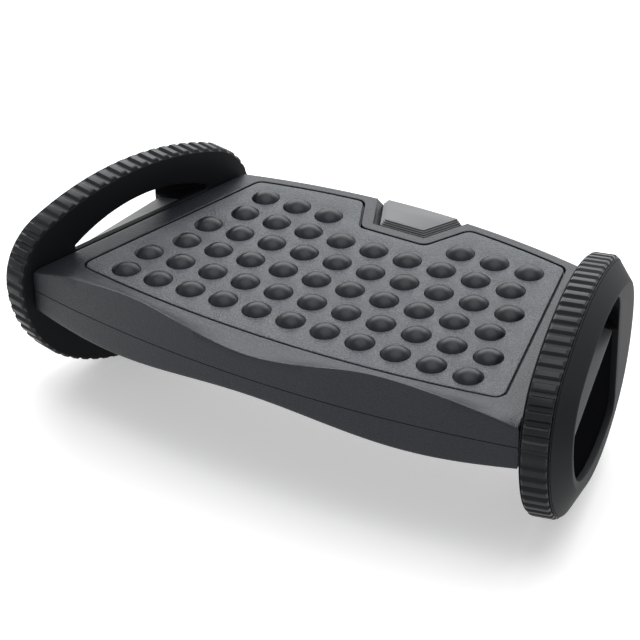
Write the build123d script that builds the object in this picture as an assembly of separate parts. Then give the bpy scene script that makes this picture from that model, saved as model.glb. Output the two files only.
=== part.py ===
from build123d import *
import os
from math import asin, atan2, cos, pi, radians, sin, sqrt, tan

os.makedirs("parts", exist_ok=True)

# An adjustable footrest: a studded platform carried between two oval side wheels.
# Millimetres, +Z up, floor at Z = 0, front edge towards -Y, hub line at Y = 0.

# Platform in plan
half_depth = 120.0            # hub line to the middle of the front or rear edge
front_radius = 970.0          # bow of the front edge
rear_radius = 580.0           # bow of the rear edge
end_reach = 172.7             # centre line to the middle of an end face
toe_angle = 13.6              # degrees that each end face and wheel turn in towards the rear

# Platform heights, measured from the hub, where the two shells part
deck_rise = 16.3              # deck surface above the hub
centre_drop = 14.2            # underside below the hub at the middle of the front edge
belly_drop = 22.7             # underside below the hub at the two front bulges
rear_drop = 16.0              # underside below the hub along the rear edge
heel_lip_rise = 17.0          # crest of the two heel lips above the deck
heel_dip_rise = 2.7           # front edge above the deck, midway between the lips
heel_lip_spacing = 200.0      # one heel lip crest to the other
heel_end_fall = 20.0          # fall from a crest to half the spacing further out
heel_end_power = 1.8          # how late that fall sets in
heel_ramp_depth = 26.0        # front edge back to where the heel ramp meets the deck
heel_knee_depth = 0.45        # share of the ramp's depth at its knee
heel_knee_rise = 0.3          # share of the lip's height left at the knee
belly_spacing = 250.0         # one front bulge to the other
shell_wall = 3.0
floor_wall = 3.0
lap_clearance = 0.05          # between faces that seat on each other

# Foot mat, dome sheet and name plate block
mat_front_margin = 28.0
mat_rear_margin = 8.0
mat_end_margin = 17.0
mat_corner_radius = 9.0
mat_thickness = 2.5
mat_groove = 0.9              # open line round the mat
dome_pitch = 28.0
dome_first_row = -63.8        # Y of the front row
dome_rows = (11, 11, 10, 10, 9, 9)
dome_gap_row = 5              # this row leaves out its middle domes
dome_gap_half_width = 40.0
dome_diameter = 20.6
dome_height = 5.0
dome_sheet_thickness = 1.5
dome_hole_clearance = 0.3
badge_front = 88.0            # Y of the block's front edge
badge_front_half = 18.5
badge_rear_half = 34.0
badge_stand = 0.8             # block top above the deck
badge_step = 1.1              # width of each step round the block
badge_step_count = 3
badge_step_drop = 1.2
badge_moat = 4.5              # open channel round the block
badge_pocket_depth = 5.0
badge_mat_border = 9.0        # deck left between the channel and the mat

# Wheel outline at its rim lip, measured from the hub
wheel_half_length = 110.8
upper_end_radius = 46.0       # arcs that turn each end up to the top
upper_bulge = 11.9            # top of the wheel above those arcs' radius
lower_end_radius = 86.0       # arcs that turn each end down to the bottom
lower_bulge = 7.3             # bottom of the wheel below those arcs' radius

# Wheel section, measured outwards from the end face of the platform
end_gap = 2.2                 # end face to the wheel's inner face
lip_thickness = 1.0
rim_width = 20.5              # inner face to the outer face of the rim
web_thickness = 4.5
rim_wall = 4.0
tyre_seat = 4.0               # depth of the tyre seat below the lip
cover_depth = 11.3            # rim face to the flat outer face
cover_wall = 2.6
cover_lip = 1.0               # rim lip standing past the cover
cover_end_inset = 15.8        # bevel, from the rim lip to the flat face, at the ends
cover_top_inset = 12.6
cover_bottom_inset = 24.0
opening_end_margin = 4.0      # flat face left in front of the opening
opening_top_margin = 1.2
opening_bottom_margin = 10.5
opening_rear = 42.0           # hub to the rear edge of the opening
opening_corner_radius = 13.0

# Handle hole through the wheel's web, and the closed face that its floor runs out to
handle_chord = 15.2           # straight lower edge above the hub
handle_half_length = 71.5
handle_height = 20.4
handle_shift = 4.0            # centre of the hole behind the hub
handle_end_radius = 2.5
well_depth = 4.5              # flat outer face down to the closed face in the opening
well_edge = 3.0               # upper edge of that face above the hub
well_slope = 0.135            # rise of that edge towards the rear

# Tyre
tyre_stand = 2.0              # rib crest past the rim lip
rib_count = 60
rib_depth = 2.2
rib_land = 0.42               # crest share of one rib pitch
rib_floor = 0.30              # groove share of one rib pitch
tyre_shoulder = 2.2
tyre_side_clearance = 0.2

# Hub, from the wheel inwards
spigot_diameter = 12.0
bush_wall = 2.0
bush_flange_diameter = 28.0
bush_flange_thickness = 1.0
bush_length = 22.0            # end face to the bush's inner end
running_clearance = 0.05      # radial, spigot in bush
face_clearance = 0.05         # between faces that turn against each other
spring_washer_thickness = 1.6
retaining_washer_thickness = 2.0
retaining_washer_diameter = 16.6
hub_screw_diameter = 6.0
hub_screw_length = 20.0
hub_screw_head_diameter = 10.0
hub_screw_head_height = 3.5
saddle_half_width = 18.0

# Turn stop
stop_pin_diameter = 5.0
stop_radius = 30.0            # hub to the pin
stop_pin_length = 15.0
stop_angle = 20.0             # degrees each way
stop_groove_depth = 3.0
stop_side_clearance = 0.4

# Fasteners
shell_screw_diameter = 4.0
shell_screw_length = 20.0
screw_head_diameter = 8.0
screw_head_height = 2.6
screw_hole_clearance = 0.2    # on the diameter
head_clearance = 0.6          # on the diameter
shell_boss_diameter = 13.0
shell_boss_wall = 2.4         # round the screw's pilot hole
shell_screw_seat = 10.0       # head seat below the parting line
shell_screw_places = ((150.0, -72.0), (62.0, -96.0), (128.0, 78.0), (62.0, 92.0))
cover_screw_diameter = 3.0
cover_screw_length = 12.0
cover_screw_head_diameter = 5.6
cover_screw_head_height = 2.0
cover_boss_wall = 1.9
cover_screw_inset = 14.3      # wheel's end to a cover screw, along the wheel
cover_screw_reach = wheel_half_length - cover_screw_inset
cover_screw_spread = 9.0      # cover screw above or below the hub level

# Ribs inside the base shell
base_rib_thickness = 2.0
base_rib_top_gap = 0.5
base_rib_rows = (-48.0, 48.0)
base_rib_columns = (-92.0, 0.0, 92.0)

toe = radians(toe_angle)
wheel_rise = upper_end_radius + upper_bulge
wheel_drop = lower_end_radius + lower_bulge
section_half_span = end_reach + half_depth * tan(toe) + shell_wall
loft_sections = 17
corner_steps = 30             # enough to and fro steps to settle on a plan corner

# Places along the hub axis, from the end face outwards
wheel_inner = end_gap
web_outer = wheel_inner + web_thickness
rim_outer = wheel_inner + rim_width
cover_outer = rim_outer + cover_depth
tyre_inner = wheel_inner + lip_thickness + tyre_side_clearance
tyre_outer = rim_outer - lip_thickness - tyre_side_clearance
spigot_end = -bush_length - face_clearance - spring_washer_thickness


def oval(half_length, rise, drop, upper_radius, lower_radius):
    """Closed outline of six tangent arcs, widest and upright at the hub level."""
    edges = []
    for side, height, radius in ((1, rise, upper_radius), (-1, drop, lower_radius)):
        reach = half_length - radius
        long_radius = (reach**2 + height**2 - radius**2) / (2 * (height - radius))
        turn = atan2(long_radius - height, reach)
        half_turn = turn / 2
        join = (reach + radius * cos(turn), radius * sin(turn) * side)
        knee = (reach + radius * cos(half_turn), radius * sin(half_turn) * side)
        near = ThreePointArc((half_length, 0), knee, join)
        middle = ThreePointArc(join, (0, height * side), (-join[0], join[1]))
        far = ThreePointArc((-join[0], join[1]), (-knee[0], knee[1]), (-half_length, 0))
        edges.append([near, middle, far])
    upper, lower = edges
    return Wire(upper + lower[::-1])


def wheel_outline(inset):
    """Rim lip outline moved inwards by the inset, or outwards where it is negative."""
    return oval(wheel_half_length - inset, wheel_rise - inset, wheel_drop - inset,
                upper_end_radius - inset, lower_end_radius - inset)


def cover_outline(inset):
    """Edge of the cover's flat outer face, moved inwards by the inset."""
    return oval(wheel_half_length - cover_end_inset - inset, wheel_rise - cover_top_inset - inset,
                wheel_drop - cover_bottom_inset - inset, upper_end_radius - cover_top_inset - inset,
                lower_end_radius - cover_bottom_inset - inset)


def prism(face, low, high):
    """Face drawn on the XY plane, pushed up from low to high."""
    return Pos(0, 0, low) * Solid.extrude(face.faces()[0], Vector(0, 0, high - low))


def ring(outer, inner, low, high):
    """Flat ring between two outlines, from low to high."""
    return prism(Face(outer), low, high) - prism(Face(inner), low, high)


def rod(radius, low, high, place=(0, 0)):
    """Round bar along Z."""
    return Pos(place[0], place[1], low) * Solid.make_cylinder(radius, high - low)


def tube(outer_radius, inner_radius, low, high):
    """Round sleeve along Z."""
    return rod(outer_radius, low, high) - rod(inner_radius, low, high)


def end_x(y, inset=0.0):
    """X of the right end face at Y, moved inwards by the inset."""
    return end_reach - y * tan(toe) - inset / cos(toe)


def front_y(x, inset=0.0):
    """Y of the bowed front edge at X."""
    return front_radius - half_depth - sqrt((front_radius - inset)**2 - x**2)


def rear_y(x, inset=0.0):
    """Y of the bowed rear edge at X."""
    return half_depth - rear_radius + sqrt((rear_radius - inset)**2 - x**2)


def plan_corner(edge, edge_inset, end_inset):
    """Corner where a bowed edge meets the right end, found by stepping to and fro."""
    y = 0.0
    for _ in range(corner_steps):
        x = end_x(y, end_inset)
        y = edge(x, edge_inset)
    return x, y


def plan_face(front_inset, rear_inset, end_inset):
    """Plan of the platform with each edge moved inwards."""
    fx, fy = plan_corner(front_y, front_inset, end_inset)
    rx, ry = plan_corner(rear_y, rear_inset, end_inset)
    edges = [
        ThreePointArc((-fx, fy), (0, front_y(0, front_inset)), (fx, fy)),
        Line((fx, fy), (rx, ry)),
        ThreePointArc((rx, ry), (0, rear_y(0, rear_inset)), (-rx, ry)),
        Line((-rx, ry), (-fx, fy)),
    ]
    return Face(Wire(edges))


def wave(x, spacing):
    """Smooth wave from 0 at the middle to 1 at half the spacing each side."""
    return (1 - cos(2 * pi * x / spacing)) / 2


def heel_lip(x):
    """Front edge above the deck: a wave between the two lips, then a curve that falls to the end corners."""
    past_crest = 2 * abs(x) / heel_lip_spacing - 1
    if past_crest > 0:
        return heel_lip_rise - heel_end_fall * past_crest**heel_end_power
    return heel_dip_rise + (heel_lip_rise - heel_dip_rise) * wave(x, heel_lip_spacing)


def underside_drop(x):
    """Depth of the front underside below the hub: two bulges between the middle and the ends."""
    bulge = belly_drop - centre_drop
    return centre_drop + bulge * wave(x, belly_spacing)


def section_stations():
    """Places along X where the platform's sections stand."""
    step = 2 * section_half_span / (loft_sections - 1)
    return [-section_half_span + step * i for i in range(loft_sections)]


def section_loft(section):
    """Smooth solid through one YZ section at each station."""
    wires = []
    for x in section_stations():
        points = [Vector(x, y, hub_height + z) for y, z in section(x)]
        wires.append(Wire.make_polygon(points, close=True))
    return Solid.make_loft(wires, False)


# Tyre ribs: corner points along the crest outline, with one rib centred at the bottom
crest = wheel_outline(-tyre_stand)
crest_edges = crest.edges()
upper_length = sum(edge.length for edge in crest_edges if edge.center().Y > 0)
bottom_share = (upper_length + (crest.length - upper_length) / 2) / crest.length


def rib_point(share, depth):
    """Point on the crest outline at a share of its length, sunk by depth."""
    share = share % 1.0
    point = crest @ share
    along = crest % share
    outward = Vector(along.Y, -along.X)
    return point - outward * depth


rib_points = []
flank = (1 - rib_land - rib_floor) / 2
for i in range(rib_count):
    middle = bottom_share + i / rib_count
    for shift, depth in ((-rib_land / 2, 0), (rib_land / 2, 0),
                         (rib_land / 2 + flank, rib_depth), (1 - rib_land / 2 - flank, rib_depth)):
        rib_points.append(rib_point(middle + shift / rib_count, depth))
hub_height = -min(point.Y for point in rib_points)

hub_plane = Plane(origin=(end_reach, 0, hub_height), x_dir=(-sin(toe), cos(toe), 0),
                  z_dir=(cos(toe), sin(toe), 0))


def at_hub(shape):
    """Put a shape drawn about the hub axis (X to the rear, Y up, Z outwards) on the right end."""
    return hub_plane.location * shape


def both_ends(shape):
    """Right copy and its mirror image on the left."""
    return shape + mirror(shape, about=Plane.YZ)


def save(name, *solids):
    """Write one node, as a single solid or a group of separate ones."""
    found = [solid for shape in solids for solid in shape.solids()]
    node = found[0] if len(found) == 1 else Compound(found)
    node.label = name
    export_step(node, f"parts/{name}.step")


def save_pair(name, *solids):
    """Write the right and left nodes of a piece that each end has."""
    save(f"right_{name}", *solids)
    save(f"left_{name}", *[mirror(shape, about=Plane.YZ) for shape in solids])


# Heights above the floor
seam = hub_height
deck = hub_height + deck_rise
mat_pocket = mat_thickness + dome_sheet_thickness
top_ceiling = deck - mat_pocket - shell_wall
above_all = deck + heel_lip_rise + shell_wall

# Name plate block and the channel round it
badge_rear = half_depth + shell_wall
badge_slope = (badge_rear_half - badge_front_half) / (half_depth - badge_front)


def badge_face(grow):
    """Tapered outline of the block, grown on its front and sides, running past the rear edge."""
    front = badge_front - grow
    front_half = badge_front_half + grow * (sqrt(1 + badge_slope**2) - badge_slope)
    rear_half = front_half + badge_slope * (badge_rear - front)
    points = [(-front_half, front), (front_half, front), (rear_half, badge_rear), (-rear_half, badge_rear)]
    return Face(Wire.make_polygon([Vector(x, y, 0) for x, y in points], close=True))


def mat_face(inset):
    """Mat outline with the notch round the name plate and rounded corners."""
    face = plan_face(mat_front_margin + inset, mat_rear_margin + inset, mat_end_margin + inset)
    notched = Sketch() + face - badge_face(badge_moat + badge_mat_border + inset)
    return fillet(notched.vertices(), mat_corner_radius - inset)


def dome_places():
    """Centre of each dome, row by row from the front."""
    places = []
    for row, count in enumerate(dome_rows):
        for i in range(count):
            x = (i - (count - 1) / 2) * dome_pitch
            if row != dome_gap_row or abs(x) > dome_gap_half_width:
                places.append((x, dome_first_row + row * dome_pitch))
    return places


shell_screws_at = [(side * x, y) for x, y in shell_screw_places for side in (-1, 1)]
outer_plan = plan_face(-shell_wall, -shell_wall, 0)
inner_plan = plan_face(shell_wall, shell_wall, shell_wall)
between_ends = plan_face(-shell_wall, -shell_wall, shell_wall)
bush_radius = spigot_diameter / 2 + running_clearance + bush_wall
saddle_top = top_ceiling - hub_height
hub_bore = at_hub(rod(bush_radius + lap_clearance, -bush_length, end_gap))
pin_inner = wheel_inner + stop_groove_depth - face_clearance - stop_pin_length
stop_pin = at_hub(rod(stop_pin_diameter / 2, pin_inner, pin_inner + stop_pin_length, (stop_radius, 0)))
pin_bore = at_hub(rod(stop_pin_diameter / 2 + lap_clearance, pin_inner, end_gap, (stop_radius, 0)))


def end_saddle(low, high):
    """Block inside an end wall that holds the bush and the stop pin, from low to high about the hub."""
    width = stop_radius + stop_pin_diameter + saddle_half_width
    middle = (width / 2 - saddle_half_width, (low + high) / 2, -bush_length / 2)
    return at_hub(Pos(*middle) * Box(width, high - low, bush_length))


# Top shell: deck, heel lips and walls, with the mat pocket and the name plate channel
def top_section(x):
    """Section of the top shell, from the parting line up over the heel lip to the rear wall."""
    lip = heel_lip(x)
    front = front_y(x)
    knee_rise = max(lip, 0) * heel_knee_rise
    knee = (front + heel_ramp_depth * heel_knee_depth, deck_rise + knee_rise)
    return [(front, 0), (front, deck_rise + lip), knee, (front + heel_ramp_depth, deck_rise),
            (rear_y(x), deck_rise), (rear_y(x), 0)]


top_shell = section_loft(top_section) & prism(outer_plan, 0, above_all)
top_shell -= prism(inner_plan, seam, top_ceiling)
top_shell += both_ends(end_saddle(0, saddle_top)) & prism(inner_plan, seam, top_ceiling)
pilot_end = seam - shell_screw_seat + shell_screw_length + lap_clearance
for place in shell_screws_at:
    top_shell += rod(shell_screw_diameter / 2 + shell_boss_wall, seam, top_ceiling, place)
    top_shell -= rod((shell_screw_diameter + screw_hole_clearance) / 2, seam, pilot_end, place)
top_shell -= prism(mat_face(0), deck - mat_pocket, above_all)
top_shell -= prism(badge_face(badge_moat), deck - badge_pocket_depth, above_all)
top_shell -= both_ends(hub_bore) + both_ends(pin_bore)
save("top_shell", top_shell)


# Base shell: underside, walls, stiffening ribs and screw bosses
def base_section(x, wall=0.0):
    """Section of the base shell, with its walls moved inwards for the hollow."""
    low = -underside_drop(x) + wall
    top = -lap_clearance + wall
    return [(front_y(x, wall), top), (front_y(x, wall), low),
            (rear_y(x, wall), -rear_drop + wall), (rear_y(x, wall), top)]


base_block = section_loft(base_section) & prism(outer_plan, 0, above_all)
base_hollow = section_loft(lambda x: base_section(x, floor_wall)) & prism(between_ends, 0, above_all)
base_shell = base_block - base_hollow
below_seam = prism(between_ends, 0, seam - lap_clearance)
rib_top = seam - base_rib_top_gap
ribs = []
for y in base_rib_rows:
    ribs.append(Pos(0, y, rib_top / 2) * Box(2 * section_half_span, base_rib_thickness, rib_top))
for x in base_rib_columns:
    ribs.append(Pos(x, 0, rib_top / 2) * Box(base_rib_thickness, 2 * half_depth, rib_top))
for rib in ribs:
    base_shell += rib & base_hollow
base_shell += both_ends(end_saddle(-belly_drop, -lap_clearance)) & base_hollow & below_seam
head_seat = seam - shell_screw_seat
for place in shell_screws_at:
    base_shell += rod(shell_boss_diameter / 2, 0, seam - lap_clearance, place) & base_block
    base_shell -= rod((screw_head_diameter + head_clearance) / 2, 0, head_seat, place)
    base_shell -= rod((shell_screw_diameter + screw_hole_clearance) / 2, 0, seam, place)
base_shell -= both_ends(hub_bore) + both_ends(pin_bore)
save("base_shell", base_shell)

# Shell screws: pan heads in the counterbores of the base, shanks up into the top shell's bosses
shell_screws = []
for place in shell_screws_at:
    head = rod(screw_head_diameter / 2, head_seat - screw_head_height, head_seat, place)
    shank = rod(shell_screw_diameter / 2, head_seat, head_seat + shell_screw_length, place)
    shell_screws.append(head + shank)
save("shell_screws", *shell_screws)

# Dome sheet: soft sheet at the bottom of the pocket with a dome standing through each hole of the mat
sheet_low = deck - mat_pocket
sheet_top = sheet_low + dome_sheet_thickness
dome_radius = dome_diameter / 2
cap_radius = (dome_radius**2 + dome_height**2) / (2 * dome_height)
cap = Pos(0, 0, deck + dome_height - cap_radius) * Solid.make_sphere(cap_radius, angle1=-90)
cap = cap & rod(dome_radius, deck, deck + 2 * dome_height)
dome = cap + rod(dome_radius, sheet_top - dome_sheet_thickness / 2, deck)
dome_sheet = prism(mat_face(mat_groove), sheet_low, sheet_top)
dome_sheet = dome_sheet + [Pos(x, y, 0) * dome for x, y in dome_places()]
save("massage_dome_sheet", dome_sheet)

# Foot mat: grained plate over the sheet, flush with the deck, with a hole for each dome
mat_holes = [rod(dome_radius + dome_hole_clearance, sheet_top, deck, place) for place in dome_places()]
foot_mat = prism(mat_face(mat_groove), sheet_top, deck) - mat_holes
save("foot_mat", foot_mat)

# Name plate block: bare tapered block in the channel at the rear, its sides in fine steps
badge_floor = deck - badge_pocket_depth
badge_top = deck + badge_stand
badge_inside = prism(plan_face(0, 0, 0), badge_floor, above_all)
badge_block = prism(badge_face(-badge_step * badge_step_count), badge_floor, badge_top)
for step in range(badge_step_count):
    step_top = badge_top - (badge_step_count - step) * badge_step_drop
    badge_block += prism(badge_face(-badge_step * step), badge_floor, step_top)
badge_block = badge_block & badge_inside
save("badge_block", badge_block)

# Wheel body: web with the handle hole, rim with two lips round the tyre seat, and the hub spigot
handle_top = (handle_shift, handle_chord + handle_height)
handle_front = (handle_shift - handle_half_length, handle_chord)
handle_rear = (handle_shift + handle_half_length, handle_chord)
handle_sketch = Sketch() + Face(Wire([Line(handle_front, handle_rear),
                                      ThreePointArc(handle_rear, handle_top, handle_front)]))
handle_face = fillet(handle_sketch.vertices(), handle_end_radius)
seat_outline = wheel_outline(tyre_seat)
rim_inside = wheel_outline(tyre_seat + rim_wall)
inner_lip = wheel_inner + lip_thickness
outer_lip = rim_outer - lip_thickness
wheel_body = prism(Face(wheel_outline(0)), wheel_inner, inner_lip)
wheel_body += prism(Face(seat_outline), inner_lip, web_outer)
wheel_body += ring(seat_outline, rim_inside, web_outer, outer_lip)
wheel_body += ring(wheel_outline(0), rim_inside, outer_lip, rim_outer)
wheel_body -= prism(handle_face, wheel_inner, web_outer)
wheel_body += rod(spigot_diameter / 2, spigot_end, web_outer)
hub_pilot = (hub_screw_diameter + screw_hole_clearance) / 2
hub_screw_seat = spigot_end - retaining_washer_thickness
hub_screw_tip = hub_screw_seat + hub_screw_length
wheel_body -= rod(hub_pilot, spigot_end, hub_screw_tip + lap_clearance)

# Arc groove in the web's inner face for the stop pin, swept a little past each limit
groove_half_width = stop_pin_diameter / 2 + stop_side_clearance
groove_spread = stop_angle + asin(groove_half_width / stop_radius) * 180 / pi
groove_ring = tube(stop_radius + groove_half_width, stop_radius - groove_half_width,
                   wheel_inner, wheel_inner + stop_groove_depth)
groove_wedge = Pos(0, 0, wheel_inner) * Rot(0, 0, -groove_spread) * Solid.make_cylinder(
    stop_radius * 2, stop_groove_depth, angle=2 * groove_spread)
wheel_body -= groove_ring & groove_wedge
cover_screws_at = [(u * cover_screw_reach, v * cover_screw_spread) for u in (-1, 1) for v in (-1, 1)]
cover_head_seat = wheel_inner + cover_screw_head_height + face_clearance
cover_screw_hole = (cover_screw_diameter + screw_hole_clearance) / 2
for place in cover_screws_at:
    wheel_body -= rod((cover_screw_head_diameter + head_clearance) / 2, wheel_inner, cover_head_seat, place)
    wheel_body -= rod(cover_screw_hole, wheel_inner, web_outer, place)
save_pair("wheel_body", at_hub(wheel_body))

# Wheel cover: bevel, flat outer face, the deep wall round the opening down to the web,
# and the closed face in the opening with the handle's floor sloping up from it to the web
bevel_foot = wheel_outline(cover_lip).moved(Location((0, 0, rim_outer)))
bevel_crest = cover_outline(0).moved(Location((0, 0, cover_outer)))
hollow_foot = wheel_outline(cover_lip + cover_wall).moved(Location((0, 0, rim_outer)))
hollow_crest = cover_outline(cover_wall).moved(Location((0, 0, cover_outer - cover_wall)))
cover_block = Solid.make_loft([bevel_foot, bevel_crest], True)
cover_hollow = Solid.make_loft([hollow_foot, hollow_crest], True)
opening_outline = oval(wheel_half_length - cover_end_inset - opening_end_margin,
                       wheel_rise - cover_top_inset - opening_top_margin,
                       wheel_drop - cover_bottom_inset - opening_bottom_margin,
                       upper_end_radius - cover_top_inset - opening_top_margin,
                       lower_end_radius - cover_bottom_inset - opening_bottom_margin)


def opening_face(grow):
    """Opening with its straight rear edge, grown by the skirt's wall where asked."""
    oval_face = Sketch() + Face(opening_outline)
    keep = Pos(opening_rear - wheel_half_length, 0) * Rectangle(2 * wheel_half_length, 2 * wheel_drop)
    cut = fillet((oval_face & keep).vertices().group_by(Axis.X)[-1], opening_corner_radius)
    return offset(cut, grow) if grow else cut


def well_block(wall):
    """Room under the handle's floor, between the web and the closed face, less a wall on both."""
    sections = []
    for u in (-wheel_half_length, wheel_half_length):
        points = [(handle_chord - wall, web_outer), (well_edge + well_slope * u - wall, well_face - wall),
                  (-wheel_drop, well_face - wall), (-wheel_drop, web_outer)]
        sections.append(Wire.make_polygon([Vector(u, v, w) for v, w in points], close=True))
    return Solid.make_loft(sections, True)


well_face = cover_outer - well_depth
opening = opening_face(0)
cover = cover_block - cover_hollow
skirt = prism(opening_face(cover_wall), web_outer, cover_outer - cover_wall / 2)
skirt_room = prism(Face(rim_inside), web_outer, rim_outer) + cover_block
cover += skirt & skirt_room
for place in cover_screws_at:
    boss = rod(cover_screw_diameter / 2 + cover_boss_wall, web_outer, cover_outer - cover_wall / 2, place)
    cover += boss & skirt_room
cover -= prism(opening, web_outer, cover_outer)
cover += well_block(0) & prism(opening_face(cover_wall / 2), web_outer, well_face) - well_block(cover_wall)
cover_screw_tip = cover_head_seat + cover_screw_length
for place in cover_screws_at:
    cover -= rod(cover_screw_hole, web_outer, cover_screw_tip + lap_clearance, place)
save_pair("wheel_cover", at_hub(cover))

# Cover screws: four short screws from the wheel's inner face, hidden by the end of the platform
cover_head_foot = cover_head_seat - cover_screw_head_height
cover_screws = []
for place in cover_screws_at:
    head = rod(cover_screw_head_diameter / 2, cover_head_foot, cover_head_seat, place)
    shank = rod(cover_screw_diameter / 2, cover_head_seat, cover_screw_tip, place)
    cover_screws.append(at_hub(head + shank))
save_pair("cover_screws", *cover_screws)

# Tyre: ribbed rubber band stretched into the seat between the two lips
rib_face = Face(Wire.make_polygon(rib_points, close=True))
crown = prism(Face(crest), tyre_inner, tyre_outer)
crown = chamfer(crown.edges().filter_by(GeomType.CIRCLE), tyre_shoulder)
tyre = prism(rib_face, tyre_inner, tyre_outer) & crown
tyre -= prism(Face(wheel_outline(tyre_seat - lap_clearance)), tyre_inner, tyre_outer)
save_pair("tyre", at_hub(tyre))

# Hub bush: flanged sleeve clamped between the two shells
bush_bore = spigot_diameter / 2 + running_clearance
bush = tube(bush_radius, bush_bore, -bush_length, bush_flange_thickness)
bush += tube(bush_flange_diameter / 2, bush_bore, lap_clearance, bush_flange_thickness)
save_pair("hub_bush", at_hub(bush))

# Friction disc: holds the wheel where it is turned to, between the bush flange and the web
disc_inner = bush_flange_thickness + lap_clearance
friction_disc = tube(bush_flange_diameter / 2, bush_bore, disc_inner, wheel_inner - face_clearance)
save_pair("friction_disc", at_hub(friction_disc))

# Spring washer, retaining washer and hub screw on the spigot's inner end
spring_washer = tube(bush_radius, bush_bore, spigot_end, -bush_length - face_clearance)
save_pair("spring_washer", at_hub(spring_washer))
retaining_washer = tube(retaining_washer_diameter / 2, hub_pilot, hub_screw_seat, spigot_end - lap_clearance)
save_pair("retaining_washer", at_hub(retaining_washer))
head_top = hub_screw_seat - lap_clearance
hub_screw = rod(hub_screw_diameter / 2, head_top - hub_screw_head_height, hub_screw_tip)
hub_screw += rod(hub_screw_head_diameter / 2, head_top - hub_screw_head_height, head_top)
save_pair("hub_screw", at_hub(hub_screw))

# Stop pin: clamped between the shells, it runs in the web's arc groove and limits the turn
save_pair("stop_pin", stop_pin)
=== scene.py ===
import bmesh
import bpy
import numpy as np
from mathutils import Matrix, Vector
from mathutils.geometry import delaunay_2d_cdt


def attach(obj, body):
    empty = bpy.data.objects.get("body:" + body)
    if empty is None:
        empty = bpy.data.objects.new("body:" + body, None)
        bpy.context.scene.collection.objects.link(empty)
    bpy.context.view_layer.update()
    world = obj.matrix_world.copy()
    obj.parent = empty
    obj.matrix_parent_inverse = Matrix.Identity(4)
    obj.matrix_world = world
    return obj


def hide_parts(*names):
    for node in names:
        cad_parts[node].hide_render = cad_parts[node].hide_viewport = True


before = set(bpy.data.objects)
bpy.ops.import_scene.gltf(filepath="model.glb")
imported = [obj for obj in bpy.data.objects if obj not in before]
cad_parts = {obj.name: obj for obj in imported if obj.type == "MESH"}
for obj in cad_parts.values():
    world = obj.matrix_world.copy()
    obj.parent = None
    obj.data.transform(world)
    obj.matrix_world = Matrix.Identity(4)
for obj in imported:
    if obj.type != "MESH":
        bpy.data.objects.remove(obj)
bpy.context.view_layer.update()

# Base shell: the lower half of the platform, an injection moulding in grained dark grey plastic.
# It meets the top shell in a thin open line at hub height and takes eight screws from below.
# All sizes are in millimetres until a mesh is made.
hub_height = 95.2828
toe = np.radians(13.6)
platform_reach = 172.7
front_bow, front_middle = 970.0, 850.0
rear_bow, rear_middle = 580.0, -460.0
seam_half = 0.4
base_edge = 2.4
under_front, under_bulge, under_rear, bulge_wave = 14.2, 8.5, 16.0, 250.0
shell_wall = 3.0
inner_lid = hub_height - 10.5
screw_seat = hub_height - 10.0
screw_sink = 4.3
screw_places = np.array([(150, -72), (62, -96), (128, 78), (62, 92),
                         (-150, -72), (-62, -96), (-128, 78), (-62, 92)], float)


def meet(reach, slope, arc_radius, arc_middle, side):
    """Point where the line x = reach - slope y crosses a circle about (0, arc_middle).

    Putting the line into the circle gives a square equation in y; side picks its upper or lower root.
    """
    half_b = reach * slope + arc_middle
    rest = reach**2 + arc_middle**2 - arc_radius**2
    y = (half_b + side * np.sqrt(half_b**2 - (1 + slope**2) * rest)) / (1 + slope**2)
    return reach - slope * y, y


def run(first, last, count):
    """Straight run from first towards last, its points closer together near both ends."""
    t = np.linspace(0, 1, count, endpoint=False)
    t = 0.4 * t + 0.3 * (1 - np.cos(np.pi * t))
    return np.outer(1 - t, first) + np.outer(t, last)


def bowed(first_x, last_x, count, arc_radius, arc_middle, side):
    """Run along a circle about (0, arc_middle), spaced by x as a straight run is."""
    x = run([first_x], [last_x], count)[:, 0]
    return np.column_stack([x, arc_middle + side * np.sqrt(arc_radius**2 - x**2)])


def platform_loop(front=0.0, rear=0.0, end=0.0, notch=None):
    """Plan of the platform, anticlockwise from its left front corner.

    A bowed front edge, straight toed-in ends and a bowed rear edge, each moved inwards by its own amount.
    A notch is given as the y of its front, its half width there and its spread per millimetre to the rear.
    """
    front_arc = (front_bow - front, front_middle, -1)
    rear_arc = (rear_bow - rear, rear_middle, 1)
    reach = platform_reach - end / np.cos(toe)
    fx, fy = meet(reach, np.tan(toe), *front_arc)
    rx, ry = meet(reach, np.tan(toe), *rear_arc)
    if notch:
        depth, narrow, spread = notch
        wide, mouth = meet(narrow - spread * depth, -spread, *rear_arc)
        dent = [run((wide, mouth), (narrow, depth), 14), run((narrow, depth), (-narrow, depth), 24),
                run((-narrow, depth), (-wide, mouth), 14)]
    else:
        wide = 40.0
        dent = [bowed(40, 20, 14, *rear_arc), bowed(20, -20, 24, *rear_arc), bowed(-20, -40, 14, *rear_arc)]
    return np.vstack([bowed(-fx, fx, 160, *front_arc), run((fx, fy), (rx, ry), 40),
                      bowed(rx, wide, 40, *rear_arc), *dent, bowed(-wide, -rx, 40, *rear_arc),
                      run((-rx, ry), (-fx, fy), 40)])


def at_height(loop, height):
    """Plan points lifted to a height, or to one height each."""
    return np.column_stack([loop, np.broadcast_to(height, len(loop))])


def circle(centre, radius, count):
    """Round loop about a centre."""
    angle = np.linspace(0, 2 * np.pi, count, endpoint=False)
    return np.asarray(centre) + radius * np.column_stack([np.cos(angle), np.sin(angle)])


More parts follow.
